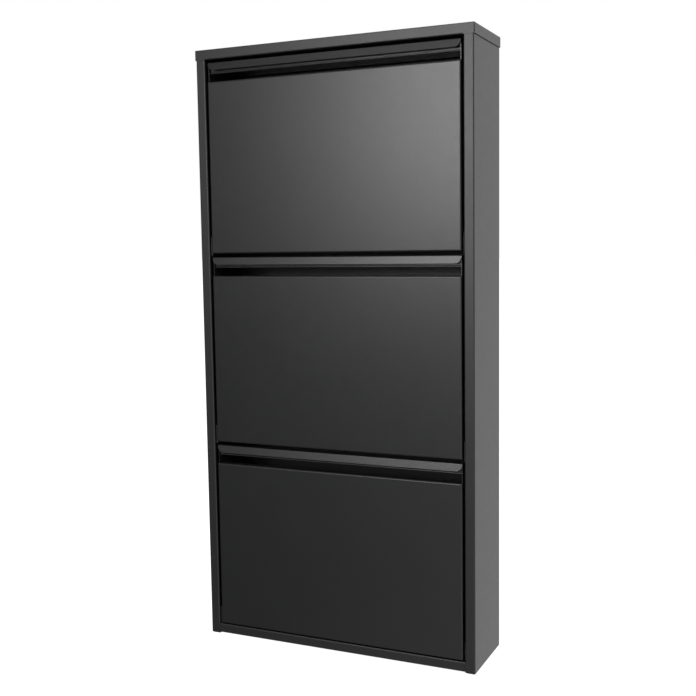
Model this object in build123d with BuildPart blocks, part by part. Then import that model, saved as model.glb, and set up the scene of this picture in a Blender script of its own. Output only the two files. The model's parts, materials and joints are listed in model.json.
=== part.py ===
from build123d import *
from math import cos, radians, sin
import os

# Slim shoe cabinet of folded, powder-coated sheet steel with three tilt-out flaps.
# Millimetres. +X is to the right, +Y to the back, +Z up. The origin is on the floor, at the
# middle of the cabinet's footprint, so the fronts face -Y.

# Overall size
cabinet_width = 500.0
cabinet_depth = 140.0
cabinet_height = 1030.0
sheet = 0.8
bend_radius = 2.0
touch_gap = 0.3

# Carcass
cap_overhang = 1.5
cap_flange_height = 17.0
cap_return_depth = 6.0
front_flange_width = 17.0
front_return_depth = 5.0
rear_flange_width = 20.0
end_flange_width = 19.0
end_flange_length = 120.0
glide_height = 1.5
base_flange_height = 16.5
base_return_depth = 3.0
nut_thickness = 4.0

# The stack of flaps, from the bottom up
levels = ("lower", "middle", "upper")
gap_below_flap = 1.5
finger_slot_height = 19.6
lip_height = 12.8
gap_above_flap = 4.9

# Flap
flap_width = 455.0
flap_setback = 0.5
flap_bend_radius = 2.5
side_return_depth = 20.0
top_return_depth = 14.0
cheek_thickness = 1.0
cheek_setback = 4.0
tray_depth = 108.0
tray_height = 206.0
tray_floor_height = 8.5
tray_front_depth = 19.5
tray_tab_width = 12.0

# Pull rail along the top of a flap
rail_width = 453.8
rail_depth = 10.8
lip_corner_radius = 11.0
lip_lean = 2.2
leg_drop = 6.0
bead_radius = 1.65

# Pivot and stop of a flap
pivot_depth = 12.0
pivot_height = 12.0
pin_radius = 3.0
pin_clearance = 0.05
opening_angle = 42.0
stop_radius = 70.0
stop_angle = 60.0
sleeve_radius = 5.0
sleeve_clearance = 0.3

# Fasteners
screw_radius = 2.0
screw_hole_radius = 2.1
rivet_radius = 1.6
wall_hole_radius = 3.0
wall_hole_spacing = 380.0
wall_rail_height = 30.0
cap_screw_x = 238.0
cap_screw_y = 40.0
base_screw_x = 239.0
base_screw_y = 22.0
glide_x = 239.8
glide_y = 55.5
base_rivet_spacing = 160.0
rail_rivet_spacing = 107.5
tray_screw_spots = ((32.0, 15.5), (88.0, 15.5), (102.0, 70.0), (102.0, 170.0))

# Heights and depths that follow from the sizes above
front_y = -cabinet_depth / 2
back_y = cabinet_depth / 2
body_half = cabinet_width / 2 - cap_overhang
body_front_y = front_y + sheet + 0.1
body_back_y = back_y - sheet - 0.2
web_x = body_half - sheet
opening_half = body_half - front_flange_width
floor_z = glide_height + sheet
base_top_z = floor_z + base_flange_height
cap_bottom_z = cabinet_height - cap_flange_height
side_top_z = cabinet_height - sheet - nut_thickness
pitch = (cap_bottom_z - base_top_z) / len(levels)
lip_drop = gap_above_flap + lip_height
face_height = pitch - gap_below_flap - finger_slot_height - lip_drop

flap_half = flap_width / 2
flap_y = body_front_y + flap_setback
cheek_outer_x = flap_half - sheet
cheek_inner_x = cheek_outer_x - cheek_thickness
pivot_y = flap_y + pivot_depth
pivot_rise = gap_below_flap + pivot_height

back_panel_y = body_back_y - sheet
base_rear_y = back_panel_y - sheet
wall_rail_z = cap_bottom_z - 25.0
base_rivet_z = floor_z + base_flange_height * 0.6
end_flange_x = body_half - end_flange_width / 2


def level_z(index):
    """Height at which the space of a flap starts."""
    return base_top_z + index * pitch


def folded(plane, points, radii, side=Side.LEFT):
    """Section of a sheet folded along its outer points, with the sheet's thickness to one side."""
    with BuildSketch(plane) as section_sketch:
        with BuildLine():
            FilletPolyline(points, radius=radii)
            offset(amount=sheet, side=side)
        make_face()
    return section_sketch.sketch


def pan_head_screw(shank_length):
    """Cross-recessed screw with its seat at the origin, its head along +Z and its shank along -Z."""
    head_radius = 3.5
    head_height = 2.0
    recess_depth = 1.1
    recess_span = 3.6
    recess_width = 0.8
    with BuildPart() as screw:
        Cylinder(head_radius, head_height, align=(Align.CENTER, Align.CENTER, Align.MIN))
        fillet(screw.faces().sort_by(Axis.Z)[-1].edges(), radius=1.1)
        Cylinder(screw_radius, shank_length, align=(Align.CENTER, Align.CENTER, Align.MAX))
        with BuildSketch(Plane.XY.offset(head_height)):
            Rectangle(recess_span, recess_width)
            Rectangle(recess_width, recess_span)
        extrude(amount=-recess_depth, mode=Mode.SUBTRACT)
    return screw.part


def blind_rivet(grip):
    """Domed rivet with its seat at the origin, its dome along +Z and its body along -Z."""
    dome_radius = 3.2
    dome_height = 0.8
    bulb_radius = 2.4
    bulb_height = 2.0
    with BuildPart() as rivet:
        Cylinder(dome_radius, dome_height, align=(Align.CENTER, Align.CENTER, Align.MIN))
        fillet(rivet.faces().sort_by(Axis.Z)[-1].edges(), radius=0.6)
        Cylinder(rivet_radius, grip, align=(Align.CENTER, Align.CENTER, Align.MAX))
        with Locations((0, 0, -grip)):
            Cylinder(bulb_radius, bulb_height, align=(Align.CENTER, Align.CENTER, Align.MAX))
    return rivet.part


def placed(piece, planes):
    """Copies of one fastener, each standing on its own plane."""
    with BuildPart() as group:
        with Locations(*planes):
            add(piece)
    return group.part


def mirrored(piece):
    """The left-hand twin of a right-hand piece."""
    with BuildPart() as twin:
        mirror(piece, about=Plane.YZ, mode=Mode.ADD)
    return twin.part


def save(piece, name):
    """Label a finished piece and write it."""
    piece.label = name
    export_step(piece, f"parts/{name}.step")


def rear_plane(x, y, z):
    """Plane at the back of the cabinet, facing backwards."""
    return Plane((x, y, z), z_dir=(0, 1, 0))


# ---------------------------------------------------------------- carcass

corners = [(i, j) for i in (-1, 1) for j in (-1, 1)]
cap_screw_spots = [(i * cap_screw_x, j * cap_screw_y) for i, j in corners]
base_screw_spots = [(i * base_screw_x, j * base_screw_y) for i, j in corners]
glide_spots = [(i * glide_x, j * glide_y) for i, j in corners]
wall_hole_planes = [rear_plane(i * wall_hole_spacing / 2, back_panel_y, wall_rail_z) for i in (-1, 1)]
rail_rivet_planes = [rear_plane(i * rail_rivet_spacing, back_panel_y, wall_rail_z) for i in range(-2, 3)]
base_rivet_planes = [rear_plane(i * base_rivet_spacing, back_panel_y, base_rivet_z) for i in (-1, 0, 1)]
side_rivet_heights = [base_top_z + (k + 0.5) * pitch for k in range(len(levels))]
side_rivet_planes = [
    rear_plane(i * end_flange_x, body_back_y, z) for i in (-1, 1) for z in side_rivet_heights
]


def side_panel():
    """Right-hand side: a tall channel with flanges to the front, back, top and bottom."""
    corner_front = (body_half, body_front_y)
    corner_back = (body_half, body_back_y)
    rear_edge = (body_half - rear_flange_width, body_back_y)
    return_edge = (opening_half, body_front_y + front_return_depth)
    with BuildPart() as panel:
        # The foot of the channel has no return, so that the base's flange butts against it.
        foot_points = [(opening_half, body_front_y), corner_front, corner_back, rear_edge]
        foot = folded(Plane.XY.offset(glide_height), foot_points, bend_radius)
        extrude(foot, amount=base_top_z - glide_height)
        channel = folded(Plane.XY.offset(base_top_z), [return_edge, *foot_points], bend_radius)
        extrude(channel, amount=side_top_z - base_top_z)
        # Flanges folded in at the bottom and the top
        for z in (glide_height, side_top_z - sheet):
            with Locations((body_half - sheet / 2, 0, z)):
                Box(end_flange_width, end_flange_length, sheet, align=(Align.MAX, Align.CENTER, Align.MIN))
        # Holes for the cap's screws, the base's screws and the glides' studs
        with Locations(*[(x, y, side_top_z) for x, y in cap_screw_spots if x > 0]):
            Cylinder(screw_hole_radius, 3 * sheet, mode=Mode.SUBTRACT)
        with Locations(*[(x, y, glide_height) for x, y in base_screw_spots if x > 0]):
            Cylinder(screw_hole_radius, 3 * sheet, mode=Mode.SUBTRACT)
        with Locations(*[(x, y, glide_height) for x, y in glide_spots if x > 0]):
            Cylinder(pin_radius, 3 * sheet, mode=Mode.SUBTRACT)
        # Rivet holes along the rear flange
        with Locations(*[plane for plane in side_rivet_planes if plane.origin.X > 0]):
            Cylinder(rivet_radius, 3 * sheet, mode=Mode.SUBTRACT)
    return panel.part


def top_cap():
    """Lid folded down on all four sides over the tops of the side panels."""
    cap_z = cap_bottom_z + cap_flange_height / 2
    cap_edge_radius = 1.6
    return_half = opening_half - touch_gap
    return_height = 5.0
    with BuildPart() as cap:
        with Locations((0, 0, cap_z)):
            Box(cabinet_width, cabinet_depth, cap_flange_height)
        fillet(cap.edges().filter_by(Axis.Z), radius=cap_edge_radius)
        fillet(cap.faces().sort_by(Axis.Z)[-1].edges(), radius=cap_edge_radius)
        offset(amount=-sheet, openings=cap.faces().sort_by(Axis.Z)[0])
        # The lower edge of the front flange is folded in between the side panels.
        with BuildSketch(Plane.YZ.offset(-return_half)):
            with Locations((front_y, cap_bottom_z)):
                Rectangle(sheet, return_height, align=(Align.MIN, Align.MIN))
        extrude(amount=2 * return_half, mode=Mode.SUBTRACT)
        return_points = [
            (front_y, cap_bottom_z + return_height),
            (front_y, cap_bottom_z),
            (front_y + cap_return_depth, cap_bottom_z),
        ]
        edge_return = folded(Plane.YZ.offset(-return_half), return_points, bend_radius)
        extrude(edge_return, amount=2 * return_half)
    return cap.part


def bottom_panel():
    """Base tray with a front flange flush with the side panels and a flange up the back."""
    base_half = opening_half - touch_gap
    base_points = [
        (body_front_y + base_return_depth, base_top_z),
        (body_front_y, base_top_z),
        (body_front_y, floor_z),
        (base_rear_y, floor_z),
        (base_rear_y, base_top_z),
    ]
    tab_length = 64.0
    with BuildPart() as base:
        extrude(folded(Plane.YZ.offset(-base_half), base_points, bend_radius), amount=2 * base_half)
        # A tab on each side lies on the side panel's bottom flange, between the glides' studs.
        with Locations((0, 0, floor_z + sheet / 2)):
            Box(2 * (web_x - touch_gap), tab_length, sheet)
        with Locations(*[(x, y, floor_z) for x, y in base_screw_spots]):
            Cylinder(screw_hole_radius, 4 * sheet, mode=Mode.SUBTRACT)
        with Locations(*base_rivet_planes):
            Cylinder(rivet_radius, 6 * sheet, mode=Mode.SUBTRACT)
    return base.part


def back_panel():
    """Rear wall with three pressed ribs across it, riveted against the side panels' rear flanges."""
    panel_half = web_x - 4 * touch_gap
    rib_depth = 3.0
    rib_half_height = 9.0
    rib_slope = 5.0
    rib_level = 0.62 * pitch
    points = [(back_panel_y, floor_z + 1.0)]
    for k in range(len(levels)):
        rib_z = level_z(k) + rib_level
        points += [
            (back_panel_y, rib_z - rib_half_height - rib_slope),
            (back_panel_y - rib_depth, rib_z - rib_half_height),
            (back_panel_y - rib_depth, rib_z + rib_half_height),
            (back_panel_y, rib_z + rib_half_height + rib_slope),
        ]
    points.append((back_panel_y, side_top_z - 3.0))
    with BuildPart() as panel:
        extrude(folded(Plane.YZ.offset(-panel_half), points, bend_radius), amount=2 * panel_half)
        with Locations(*wall_hole_planes):
            Cylinder(wall_hole_radius, 6 * sheet, mode=Mode.SUBTRACT)
        with Locations(*rail_rivet_planes, *base_rivet_planes, *side_rivet_planes):
            Cylinder(rivet_radius, 6 * sheet, mode=Mode.SUBTRACT)
    return panel.part


def wall_rail():
    """Channel across the back that takes the wall screws."""
    rail_half = web_x - 4 * touch_gap
    channel_depth = 12.0
    low_z = wall_rail_z - wall_rail_height / 2
    high_z = wall_rail_z + wall_rail_height / 2
    points = [
        (base_rear_y - channel_depth, low_z),
        (base_rear_y, low_z),
        (base_rear_y, high_z),
        (base_rear_y - channel_depth, high_z),
    ]
    with BuildPart() as rail:
        extrude(folded(Plane.YZ.offset(-rail_half), points, bend_radius), amount=2 * rail_half)
        with Locations(*wall_hole_planes):
            Cylinder(wall_hole_radius, 6 * sheet, mode=Mode.SUBTRACT)
        with Locations(*rail_rivet_planes):
            Cylinder(rivet_radius, 6 * sheet, mode=Mode.SUBTRACT)
    return rail.part


def glide():
    """Front right plastic glide: a pad under the side panel with a stud snapped into its flange."""
    pad_length = 24.0
    pad_width = 16.0
    pad_corner_radius = 3.0
    stud_rise = 2.4
    barb_radius = 3.8
    barb_tip_radius = 2.6
    barb_height = 3.0
    with BuildPart() as foot:
        with BuildSketch():
            with Locations((glide_x, -glide_y)):
                RectangleRounded(pad_width, pad_length, pad_corner_radius)
        extrude(amount=glide_height)
        chamfer(foot.faces().sort_by(Axis.Z)[0].edges(), length=0.4)
        with Locations((glide_x, -glide_y, glide_height)):
            Cylinder(pin_radius - 0.1, stud_rise, align=(Align.CENTER, Align.CENTER, Align.MIN))
        with Locations((glide_x, -glide_y, floor_z)):
            Cone(barb_radius, barb_tip_radius, barb_height, align=(Align.CENTER, Align.CENTER, Align.MIN))
    return foot.part


# ---------------------------------------------------------------- pivots and stops on the carcass

block_inner_x = flap_half + 1.5
block_front_y = body_front_y + front_return_depth + 0.5
block_back_y = pivot_y + 12.0
block_half_height = 17.0
stud_spread = 11.5
stud_length = 17.0
counterbore_radius = 4.3
counterbore_depth = 6.0
nut_height = 3.2
nut_apothem = 3.5
bore_depth = 15.0
stop_flange_radius = 7.0
stop_flange_thickness = 2.0
stop_pin_length = web_x - cheek_inner_x + 1.9


def stud_planes():
    """Seats of the weld studs on the inner faces of the side panels, pointing inwards."""
    return [
        Plane((s * web_x, pivot_y, level_z(k) + pivot_rise + j * stud_spread), z_dir=(-s, 0, 0))
        for s in (-1, 1)
        for k in range(len(levels))
        for j in (-1, 1)
    ]


def pivot_block(index):
    """Right-hand nylon bearing block for the pivot pin of a flap."""
    pivot_z = level_z(index) + pivot_rise
    block_width = web_x - block_inner_x
    block_corner_radius = 2.5
    with BuildPart() as block:
        with BuildSketch(Plane.YZ.offset(block_inner_x)):
            with Locations(((block_front_y + block_back_y) / 2, pivot_z)):
                RectangleRounded(block_back_y - block_front_y, 2 * block_half_height, block_corner_radius)
        extrude(amount=block_width)
        inner_face = block.faces().sort_by(Axis.X)[0]
        chamfer(inner_face.edges(), length=0.6)
        with Locations(Plane((block_inner_x, pivot_y, pivot_z), z_dir=(-1, 0, 0))):
            Hole(pin_radius + pin_clearance, depth=bore_depth)
        with Locations(
            Plane((block_inner_x, pivot_y, pivot_z - stud_spread), z_dir=(-1, 0, 0)),
            Plane((block_inner_x, pivot_y, pivot_z + stud_spread), z_dir=(-1, 0, 0)),
        ):
            CounterBoreHole(screw_hole_radius, counterbore_radius, counterbore_depth)
    return block.part


def weld_stud():
    """Threaded stud welded to a side panel."""
    with BuildPart() as stud:
        Cylinder(screw_radius, stud_length, align=(Align.CENTER, Align.CENTER, Align.MIN))
        chamfer(stud.faces().sort_by(Axis.Z)[-1].edges(), length=0.5)
    return stud.part


def hex_nut():
    """Nut seated in the counterbore of a pivot block, measured from the side panel."""
    seat = web_x - block_inner_x - counterbore_depth
    with BuildPart() as nut:
        with BuildSketch(Plane.XY.offset(seat)):
            RegularPolygon(nut_apothem, 6, major_radius=False)
            Circle(screw_radius, mode=Mode.SUBTRACT)
        extrude(amount=nut_height)
    return nut.part


def square_nut():
    """Square weld nut under the cap."""
    nut_side = 12.0
    with BuildPart() as nut:
        with BuildSketch():
            RectangleRounded(nut_side, nut_side, 1.0)
            Circle(screw_radius, mode=Mode.SUBTRACT)
        extrude(amount=nut_thickness)
    return nut.part


def stop_planes():
    """Seats of the stop pins on the side panels, pointing inwards."""
    stop_y = pivot_y + stop_radius * cos(radians(stop_angle))
    stop_rise = pivot_rise + stop_radius * sin(radians(stop_angle))
    return [
        Plane((s * web_x, stop_y, level_z(k) + stop_rise), z_dir=(-s, 0, 0))
        for s in (-1, 1)
        for k in range(len(levels))
    ]


def stop_pin():
    """Flanged steel pin that reaches through the slot of a flap's cheek."""
    with BuildPart() as pin:
        Cylinder(stop_flange_radius, stop_flange_thickness, align=(Align.CENTER, Align.CENTER, Align.MIN))
        Cylinder(pin_radius, stop_pin_length, align=(Align.CENTER, Align.CENTER, Align.MIN))
        chamfer(pin.faces().sort_by(Axis.Z)[-1].edges(), length=0.5)
    return pin.part


def stop_sleeve():
    """Rubber sleeve on a stop pin, which meets the ends of the slot."""
    sleeve_length = stop_pin_length - stop_flange_thickness - 0.8
    with BuildPart() as sleeve:
        with BuildSketch(Plane.XY.offset(stop_flange_thickness)):
            Circle(sleeve_radius)
            Circle(pin_radius, mode=Mode.SUBTRACT)
        extrude(amount=sleeve_length)
    return sleeve.part


# ---------------------------------------------------------------- flap


def front_panel(base_z):
    """Face of a flap, folded back along its four edges."""
    face_z = base_z + gap_below_flap
    inner_width = flap_width - 2 * sheet
    with BuildPart() as panel:
        with Locations((0, flap_y, face_z)):
            Box(flap_width, side_return_depth, face_height, align=(Align.CENTER, Align.MIN, Align.MIN))
        fillet(panel.faces().sort_by(Axis.Y)[0].edges(), radius=flap_bend_radius)
        offset(amount=-sheet, openings=panel.faces().sort_by(Axis.Y)[-1])
        # The top return is shallower than the others and is relieved at its ends for the cheeks.
        with Locations((0, flap_y + top_return_depth, face_z + face_height)):
            Box(
                inner_width,
                side_return_depth,
                4 * sheet,
                align=(Align.CENTER, Align.MIN, Align.CENTER),
                mode=Mode.SUBTRACT,
            )
        for side in (-1, 1):
            cheek_x = side * (cheek_inner_x + cheek_outer_x) / 2
            with Locations((cheek_x, flap_y + cheek_setback - 1.0, face_z + face_height)):
                Box(
                    cheek_thickness + 0.4,
                    side_return_depth,
                    4 * sheet,
                    align=(Align.CENTER, Align.MIN, Align.CENTER),
                    mode=Mode.SUBTRACT,
                )
        with Locations(Plane((0, pivot_y, base_z + pivot_rise), z_dir=(1, 0, 0))):
            Cylinder(pin_radius, flap_width + 2, mode=Mode.SUBTRACT)
    return panel.part


def pull_rail(base_z):
    """Folded rail above the face: a lip that leans back, a web on top and a beaded leg behind."""
    top_z = base_z + pitch - gap_above_flap
    lip_z = top_z - lip_height
    leg_z = lip_z - leg_drop
    rail_half = rail_width / 2
    rail_bend_radius = 1.6
    notch_width = 10.0
    points = [
        (flap_y, lip_z),
        (flap_y + lip_lean, top_z),
        (flap_y + rail_depth, top_z),
        (flap_y + rail_depth, leg_z + bead_radius),
    ]
    with BuildPart() as rail:
        profile = folded(Plane.YZ.offset(-rail_half), points, rail_bend_radius, Side.RIGHT)
        extrude(profile, amount=rail_width)
        with BuildSketch(Plane.YZ.offset(-rail_half)):
            with Locations((flap_y + rail_depth - bead_radius, leg_z + bead_radius)):
                Circle(bead_radius)
        extrude(amount=rail_width)
        # Behind the lip, the rail fits between the cheeks.
        for side in (-1, 1):
            notch_x = side * (cheek_inner_x + notch_width / 2)
            with Locations((notch_x, flap_y + cheek_setback - 0.1, leg_z - 1)):
                Box(notch_width, 20, 40, align=(Align.CENTER, Align.MIN, Align.MIN), mode=Mode.SUBTRACT)
        lip_edges = rail.edges().filter_by_position(Axis.Z, lip_z - 0.5, lip_z + 0.5)
        lip_corners = lip_edges.filter_by(Axis.X, reverse=True)
        fillet(lip_corners, radius=lip_corner_radius)
    return rail.part


def cheek(base_z):
    """Right-hand side plate of a flap, with the curved slot that limits its travel."""
    pivot_z = base_z + pivot_rise
    front_edge_y = flap_y + cheek_setback
    rear_edge_y = flap_y + tray_depth + 1.0
    bottom_z = base_z + gap_below_flap + 3.0
    rear_top_z = base_z + tray_height + 1.0
    top_z = base_z + pitch - gap_above_flap
    top_edge_length = 10.0
    travel = CenterArc((pivot_y, pivot_z), stop_radius, stop_angle - opening_angle, opening_angle)
    with BuildPart() as plate:
        with BuildSketch(Plane.YZ.offset(cheek_inner_x)):
            with BuildLine():
                FilletPolyline(
                    (front_edge_y, bottom_z),
                    (rear_edge_y, bottom_z),
                    (rear_edge_y, rear_top_z),
                    (front_edge_y + top_edge_length, top_z),
                    (front_edge_y, top_z),
                    radius=(3.0, 14.0, 20.0, 4.0, 1.5),
                    close=True,
                )
            make_face()
            SlotArc(travel, 2 * (sleeve_radius + sleeve_clearance), mode=Mode.SUBTRACT)
            with Locations((pivot_y, pivot_z)):
                Circle(pin_radius, mode=Mode.SUBTRACT)
            with Locations(*[(flap_y + depth, base_z + rise) for depth, rise in tray_screw_spots]):
                Circle(screw_hole_radius, mode=Mode.SUBTRACT)
        extrude(amount=cheek_thickness)
    return plate.part


def shoe_tray(base_z):
    """Floor and back of the pocket that holds the shoes, with tabs that are screwed to the cheeks."""
    floor_low_z = base_z + tray_floor_height
    back_face_y = flap_y + tray_depth
    top_z = base_z + tray_height
    hem_depth = 7.0
    points = [
        (flap_y + tray_front_depth, floor_low_z),
        (back_face_y, floor_low_z),
        (back_face_y, top_z),
        (back_face_y - hem_depth, top_z),
        (back_face_y - hem_depth, top_z - hem_depth),
    ]
    tray_half = cheek_inner_x
    tab_x = tray_half - sheet / 2
    with BuildPart() as tray:
        profile = folded(Plane.YZ.offset(-tray_half), points, (5.0, 1.6, 1.6), Side.RIGHT)
        extrude(profile, amount=2 * tray_half)
        for side in (-1, 1):
            with BuildSketch(Plane.YZ.offset(side * tab_x)):
                with BuildLine():
                    Polyline(
                        (flap_y + tray_front_depth + 4, floor_low_z + sheet / 2),
                        (back_face_y - 6, floor_low_z + sheet / 2),
                        (back_face_y - 6, floor_low_z + sheet + 4),
                        (back_face_y - 10, floor_low_z + sheet + tray_tab_width),
                        (flap_y + tray_front_depth + 6, floor_low_z + sheet + tray_tab_width),
                        close=True,
                    )
                make_face()
                with BuildLine():
                    Polyline(
                        (back_face_y - sheet / 2, floor_low_z + 16),
                        (back_face_y - sheet / 2, top_z - 12),
                        (back_face_y - sheet - tray_tab_width, top_z - 16),
                        (back_face_y - sheet - tray_tab_width, floor_low_z + 20),
                        close=True,
                    )
                make_face()
            extrude(amount=sheet / 2, both=True)
        screw_planes = [
            Plane((0, flap_y + depth, base_z + rise), z_dir=(1, 0, 0)) for depth, rise in tray_screw_spots
        ]
        with Locations(*screw_planes):
            Cylinder(screw_hole_radius, flap_width, mode=Mode.SUBTRACT)
    return tray.part


def pivot_pin(base_z):
    """Right-hand headed pin, riveted through the cheek and the face's side return."""
    head_thickness = 1.5
    head_radius = 6.0
    shank_end_x = block_inner_x + bore_depth - 1.0
    with BuildPart() as pin:
        with BuildSketch(Plane.YZ.offset(cheek_inner_x - head_thickness)):
            with Locations((pivot_y, base_z + pivot_rise)):
                Circle(head_radius)
        extrude(amount=head_thickness)
        with BuildSketch(Plane.YZ.offset(cheek_inner_x - head_thickness)):
            with Locations((pivot_y, base_z + pivot_rise)):
                Circle(pin_radius)
        extrude(amount=shank_end_x - cheek_inner_x + head_thickness)
        chamfer(pin.faces().sort_by(Axis.X)[-1].edges(), length=0.6)
        fillet(pin.faces().sort_by(Axis.X)[0].edges(), radius=0.6)
    return pin.part


def tray_screw_planes(base_z):
    """Seats of a flap's screws on the outer faces of its two cheeks."""
    return [
        Plane((s * cheek_outer_x, flap_y + depth, base_z + rise), z_dir=(s, 0, 0))
        for s in (-1, 1)
        for depth, rise in tray_screw_spots
    ]


# ---------------------------------------------------------------- all the pieces

os.makedirs("parts", exist_ok=True)
right_side = side_panel()
save(right_side, "side_panel_right")
save(mirrored(right_side), "side_panel_left")
save(top_cap(), "top_cap")
save(bottom_panel(), "bottom_panel")
save(back_panel(), "back_panel")
save(wall_rail(), "wall_rail")

nut_planes = [Plane((x, y, side_top_z)) for x, y in cap_screw_spots]
save(placed(square_nut(), nut_planes), "cap_nuts")
cap_screw_planes = [Plane((x, y, side_top_z - sheet), z_dir=(0, 0, -1)) for x, y in cap_screw_spots]
save(placed(pan_head_screw(sheet + nut_thickness - 0.5), cap_screw_planes), "cap_screws")
base_screw_planes = [Plane((x, y, floor_z + sheet)) for x, y in base_screw_spots]
save(placed(pan_head_screw(3 * sheet), base_screw_planes), "base_screws")
save(placed(blind_rivet(2 * sheet), side_rivet_planes), "side_rivets")
save(placed(blind_rivet(2 * sheet), rail_rivet_planes + base_rivet_planes), "back_rivets")

front_right_glide = glide()
with BuildPart() as rear_right_glide:
    mirror(front_right_glide, about=Plane.XZ)
save(front_right_glide, "glide_front_right")
save(mirrored(front_right_glide), "glide_front_left")
save(rear_right_glide.part, "glide_rear_right")
save(mirrored(rear_right_glide.part), "glide_rear_left")

save(placed(weld_stud(), stud_planes()), "block_studs")
save(placed(hex_nut(), stud_planes()), "block_nuts")
save(placed(stop_pin(), stop_planes()), "stop_pins")
save(placed(stop_sleeve(), stop_planes()), "stop_sleeves")

tray_screw = pan_head_screw(cheek_thickness + sheet + 2.0)
for index, level in enumerate(levels):
    base_z = level_z(index)
    right_block = pivot_block(index)
    save(right_block, f"pivot_block_{level}_right")
    save(mirrored(right_block), f"pivot_block_{level}_left")

    save(front_panel(base_z), f"{level}_front_panel")
    save(pull_rail(base_z), f"{level}_pull_rail")
    save(shoe_tray(base_z), f"{level}_shoe_tray")
    right_cheek = cheek(base_z)
    save(right_cheek, f"{level}_cheek_right")
    save(mirrored(right_cheek), f"{level}_cheek_left")
    right_pin = pivot_pin(base_z)
    save(right_pin, f"{level}_pivot_pin_right")
    save(mirrored(right_pin), f"{level}_pivot_pin_left")
    save(placed(tray_screw, tray_screw_planes(base_z)), f"{level}_tray_screws")
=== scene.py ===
"""Slim sheet-steel shoe cabinet with three tilt-out flaps: materials, studio and camera.

Metres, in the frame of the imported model: +X right, +Y back, +Z up, with the origin on the floor
at the middle of the footprint. Every CAD node stays as it is and gets a procedural material.
"""

import json
import math
import bpy
from mathutils import Matrix, Vector


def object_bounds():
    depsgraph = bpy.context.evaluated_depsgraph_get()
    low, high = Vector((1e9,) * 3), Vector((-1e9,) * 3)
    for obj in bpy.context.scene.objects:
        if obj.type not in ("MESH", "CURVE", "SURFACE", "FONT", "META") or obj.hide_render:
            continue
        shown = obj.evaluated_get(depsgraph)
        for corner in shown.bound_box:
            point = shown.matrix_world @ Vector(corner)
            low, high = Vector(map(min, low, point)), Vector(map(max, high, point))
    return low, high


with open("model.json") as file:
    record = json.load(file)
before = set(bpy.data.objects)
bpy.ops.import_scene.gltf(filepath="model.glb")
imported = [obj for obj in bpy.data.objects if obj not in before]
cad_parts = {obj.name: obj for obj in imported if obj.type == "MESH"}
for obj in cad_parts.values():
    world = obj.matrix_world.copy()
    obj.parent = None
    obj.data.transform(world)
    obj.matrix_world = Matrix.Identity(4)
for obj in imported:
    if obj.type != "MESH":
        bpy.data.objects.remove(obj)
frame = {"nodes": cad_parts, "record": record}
cad_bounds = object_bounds()
floor_z = cad_bounds[0][2]

# ---------------------------------------------------------------- materials

# Nearly all of a noise texture's values lie between these
noise_limits = (0.3, 0.7)


def material(name, colour, roughness, metallic=0.0):
    """New material with its shader's plain values set, and its node tree and shader."""
    made = bpy.data.materials.new(name)
    made.use_nodes = True
    tree = made.node_tree
    shader = tree.nodes["Principled BSDF"]
    shader.inputs["Base Color"].default_value = (*colour, 1.0)
    shader.inputs["Roughness"].default_value = roughness
    shader.inputs["Metallic"].default_value = metallic
    return made, tree, shader


def noise(tree, scale, detail=2.0, stretch=(1.0, 1.0, 1.0)):
    """Noise over the object's own coordinates, with so many features to the metre."""
    place = tree.nodes.new("ShaderNodeTexCoord")
    mapping = tree.nodes.new("ShaderNodeMapping")
    mapping.inputs["Scale"].default_value = stretch
    texture = tree.nodes.new("ShaderNodeTexNoise")
    texture.inputs["Scale"].default_value = scale
    texture.inputs["Detail"].default_value = detail
    tree.links.new(place.outputs["Object"], mapping.inputs["Vector"])
    tree.links.new(mapping.outputs["Vector"], texture.inputs["Vector"])
    return texture.outputs["Fac"]


def varied(tree, shader, value, smoothest, roughest):
    """Roughness that follows a noise from one value to another."""
    ramp = tree.nodes.new("ShaderNodeMapRange")
    ramp.inputs["From Min"].default_value, ramp.inputs["From Max"].default_value = noise_limits
    ramp.inputs["To Min"].default_value = smoothest
    ramp.inputs["To Max"].default_value = roughest
    tree.links.new(value, ramp.inputs["Value"])
    tree.links.new(ramp.outputs["Result"], shader.inputs["Roughness"])


def tinted(tree, shader, value, dark, light):
    """Base colour that follows a noise from one colour to another."""
    ramp = tree.nodes.new("ShaderNodeValToRGB")
    for element, limit, colour in zip(ramp.color_ramp.elements, noise_limits, (dark, light)):
        element.position = limit
        element.color = (*colour, 1.0)
    tree.links.new(value, ramp.inputs["Fac"])
    tree.links.new(ramp.outputs["Color"], shader.inputs["Base Color"])


def bumped(tree, shader, layers):
    """Bump nodes in a row, one for each (height, distance in metres, strength)."""
    last = None
    for height, distance, strength in layers:
        bump = tree.nodes.new("ShaderNodeBump")
        bump.inputs["Distance"].default_value = distance
        bump.inputs["Strength"].default_value = strength
        tree.links.new(height, bump.inputs["Height"])
        if last is not None:
            tree.links.new(last, bump.inputs["Normal"])
        last = bump.outputs["Normal"]
    tree.links.new(last, shader.inputs["Normal"])


def powder_coat(name, colour, roughness):
    """Satin powder coat: orange peel with a finer grain on it, faint blotches and uneven sheen."""
    made, tree, shader = material(name, colour, roughness)
    shader.inputs["Specular IOR Level"].default_value = 0.5
    blotch = noise(tree, 9.0, 3.0)
    tone_spread = 0.06
    dark = [(1 - tone_spread) * c for c in colour]
    light = [(1 + tone_spread) * c for c in colour]
    tinted(tree, shader, blotch, dark, light)
    sheen = noise(tree, 60.0)
    varied(tree, shader, sheen, roughness - 0.01, roughness + 0.01)
    peel = noise(tree, 420.0)
    grain = noise(tree, 1500.0, 1.0)
    bumped(tree, shader, [(peel, 0.00020, 0.5), (grain, 0.00006, 0.5)])
    return made


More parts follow.
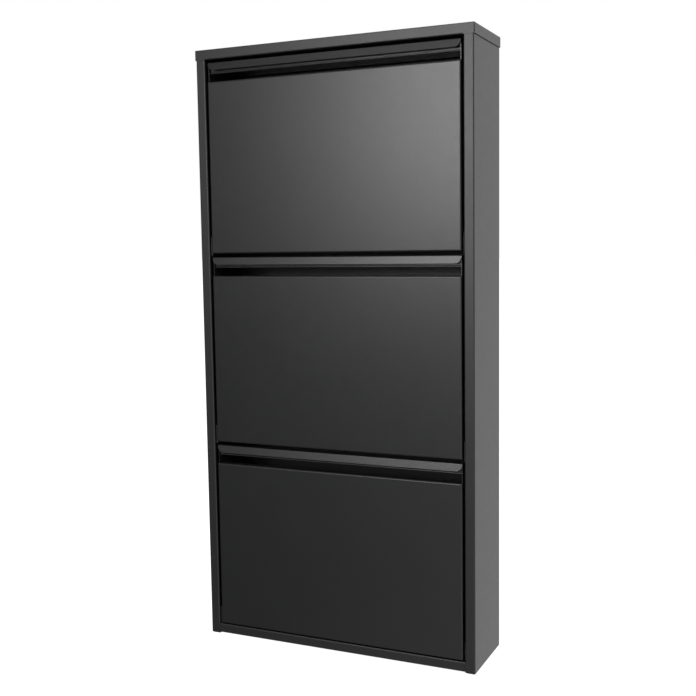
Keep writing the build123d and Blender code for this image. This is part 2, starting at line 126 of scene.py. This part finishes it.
def turned_steel(name, dark, light, metallic, smoothest, roughest, bloom_scale, stretch):
    """Plated or blackened steel that was turned: a cloudy bloom, and fine lines along one way."""
    made, tree, shader = material(name, light, roughest, metallic)
    bloom = noise(tree, bloom_scale, 3.0)
    tinted(tree, shader, bloom, dark, light)
    streak = noise(tree, 900.0, stretch=stretch)
    varied(tree, shader, streak, smoothest, roughest)
    bumped(tree, shader, [(streak, 0.00002, 0.4)])
    return made


def moulded(name, dark, light, roughness, grain_depth):
    """Moulded plastic or rubber: cloudy colour and a fine eroded grain."""
    made, tree, shader = material(name, light, roughness)
    cloud = noise(tree, 120.0, 3.0)
    tinted(tree, shader, cloud, dark, light)
    grain = noise(tree, 2200.0)
    varied(tree, shader, grain, roughness - 0.06, roughness + 0.06)
    bumped(tree, shader, [(grain, grain_depth, 0.5)])
    return made


anthracite = (0.0118, 0.0122, 0.0121)
along_x = (6.0, 1.0, 1.0)
along_z = (1.0, 1.0, 6.0)
finishes = {
    "carcass_coat": powder_coat("anthracite_powder_coat_carcass", anthracite, 0.41),
    "flap_coat": powder_coat("anthracite_powder_coat_flaps", anthracite, 0.34),
    "zinc_steel": turned_steel(
        "zinc_plated_steel", (0.50, 0.52, 0.55), (0.66, 0.65, 0.62),
        metallic=1.0, smoothest=0.26, roughest=0.42, bloom_scale=220.0, stretch=along_z,
    ),
    "black_steel": turned_steel(
        "black_oxide_steel", (0.022, 0.022, 0.026), (0.046, 0.043, 0.040),
        metallic=0.6, smoothest=0.30, roughest=0.46, bloom_scale=260.0, stretch=along_x,
    ),
    "black_nylon": moulded(
        "black_nylon", (0.007, 0.007, 0.008), (0.013, 0.013, 0.014), 0.55, 0.00003
    ),
    "black_plastic": moulded(
        "black_polyethylene", (0.012, 0.012, 0.012), (0.022, 0.022, 0.022), 0.5, 0.00004
    ),
    "rubber": moulded(
        "black_rubber", (0.010, 0.010, 0.010), (0.020, 0.019, 0.018), 0.7, 0.00006
    ),
}
slot_of = {part["node"]: part["material_slot"] for part in frame["record"]["subparts"]}
for node, piece in frame["nodes"].items():
    for place in piece.material_slots:
        place.material = finishes[slot_of[node]]

# ---------------------------------------------------------------- studio


def stage_floor():
    """Wide pale floor under the cabinet."""
    half = 40.0
    glow = 0.93
    mesh = bpy.data.meshes.new("studio_floor")
    corners = [(-half, -half, 0), (half, -half, 0), (half, half, 0), (-half, half, 0)]
    mesh.from_pydata(corners, [], [(0, 1, 2, 3)])
    floor = bpy.data.objects.new("studio_floor", mesh)
    bpy.context.scene.collection.objects.link(floor)
    floor.location.z = floor_z - 0.0002
    made, tree, shader = material("pale_floor", (0.35, 0.35, 0.35), 0.9)
    shader.inputs["Specular IOR Level"].default_value = 0.0
    shader.inputs["Emission Color"].default_value = (1.0, 1.0, 1.0, 1.0)
    shader.inputs["Emission Strength"].default_value = glow
    mesh.materials.append(made)
    floor.visible_glossy = False
    floor.visible_diffuse = False
    return floor


def soft_box(name, place, target, width, height, power):
    """Rectangular soft light that faces a point."""
    data = bpy.data.lights.new(name, "AREA")
    data.shape = "RECTANGLE"
    data.size = width
    data.size_y = height
    data.energy = power
    lamp = bpy.data.objects.new(name, data)
    lamp.location = place
    lamp.rotation_euler = (Vector(target) - Vector(place)).to_track_quat("-Z", "Y").to_euler()
    bpy.context.scene.collection.objects.link(lamp)
    return lamp


def smooth_ramp(tree, value, limits, results):
    """Node that takes a value smoothly from one result to another between two limits."""
    ramp = tree.nodes.new("ShaderNodeMapRange")
    ramp.interpolation_type = "SMOOTHSTEP"
    ramp.inputs["From Min"].default_value, ramp.inputs["From Max"].default_value = limits
    ramp.inputs["To Min"].default_value, ramp.inputs["To Max"].default_value = results
    tree.links.new(value, ramp.inputs["Value"])
    return ramp


def studio_world():
    """White surround: bright behind, dim in front on the left, and white to the camera."""
    world = bpy.data.worlds.new("studio")
    bpy.context.scene.world = world
    world.use_nodes = True
    tree = world.node_tree
    tree.nodes.clear()
    place = tree.nodes.new("ShaderNodeTexCoord")
    split = tree.nodes.new("ShaderNodeSeparateXYZ")
    in_front = smooth_ramp(tree, split.outputs["X"], (-0.54, -0.10), (0.01, 0.92))
    all_round = smooth_ramp(tree, split.outputs["Y"], (-0.35, 0.35), (0.0, 1.30))
    tree.links.new(in_front.outputs["Result"], all_round.inputs["To Min"])
    around = tree.nodes.new("ShaderNodeBackground")
    seen = tree.nodes.new("ShaderNodeBackground")
    seen.inputs["Strength"].default_value = 1.0
    seen.inputs["Color"].default_value = (1.0, 1.0, 1.0, 1.0)
    path = tree.nodes.new("ShaderNodeLightPath")
    mix = tree.nodes.new("ShaderNodeMixShader")
    out = tree.nodes.new("ShaderNodeOutputWorld")
    tree.links.new(place.outputs["Generated"], split.inputs["Vector"])
    tree.links.new(all_round.outputs["Result"], around.inputs["Strength"])
    tree.links.new(path.outputs["Is Camera Ray"], mix.inputs["Fac"])
    tree.links.new(around.outputs["Background"], mix.inputs[1])
    tree.links.new(seen.outputs["Background"], mix.inputs[2])
    tree.links.new(mix.outputs["Shader"], out.inputs["Surface"])


stage_floor()
studio_world()
# The key's mirror image fades over the front from its upper right corner. Its lower edge is high
# enough that the back panel throws only a little of it out again through the finger slots.
soft_box("key_light", (-0.62, -3.0, 1.40), (0.0, 0.0, 0.9), 0.90, 1.2, 46.0)
soft_box("top_light", (0.0, 0.3, 3.2), (0.0, 0.0, 0.0), 3.0, 3.0, 25.0)
bpy.context.scene.view_settings.view_transform = "Standard"

# ---------------------------------------------------------------- camera


def studio_camera():
    """Camera at eye level with the cabinet's upper half, to the right of its front."""
    yaw, pitch, roll = (math.radians(a) for a in (24.615, 5.737, -0.83))
    level = Vector((-math.sin(yaw), math.cos(yaw), 0.0))
    forward = math.cos(pitch) * level - math.sin(pitch) * Vector((0.0, 0.0, 1.0))
    right = Vector((math.cos(yaw), math.sin(yaw), 0.0))
    up = right.cross(forward)
    turned_right = math.cos(roll) * right + math.sin(roll) * up
    turned_up = -math.sin(roll) * right + math.cos(roll) * up
    data = bpy.data.cameras.new("camera")
    data.sensor_width = 36.0
    data.lens = 53.725  # millimetres, like the sensor's width
    camera = bpy.data.objects.new("camera", data)
    axes = Matrix((turned_right, turned_up, -forward)).transposed().to_4x4()
    camera.matrix_world = Matrix.Translation((0.742, -1.6217, 0.6971)) @ axes
    bpy.context.scene.collection.objects.link(camera)
    bpy.context.scene.camera = camera


studio_camera()

bpy.context.view_layer.update()
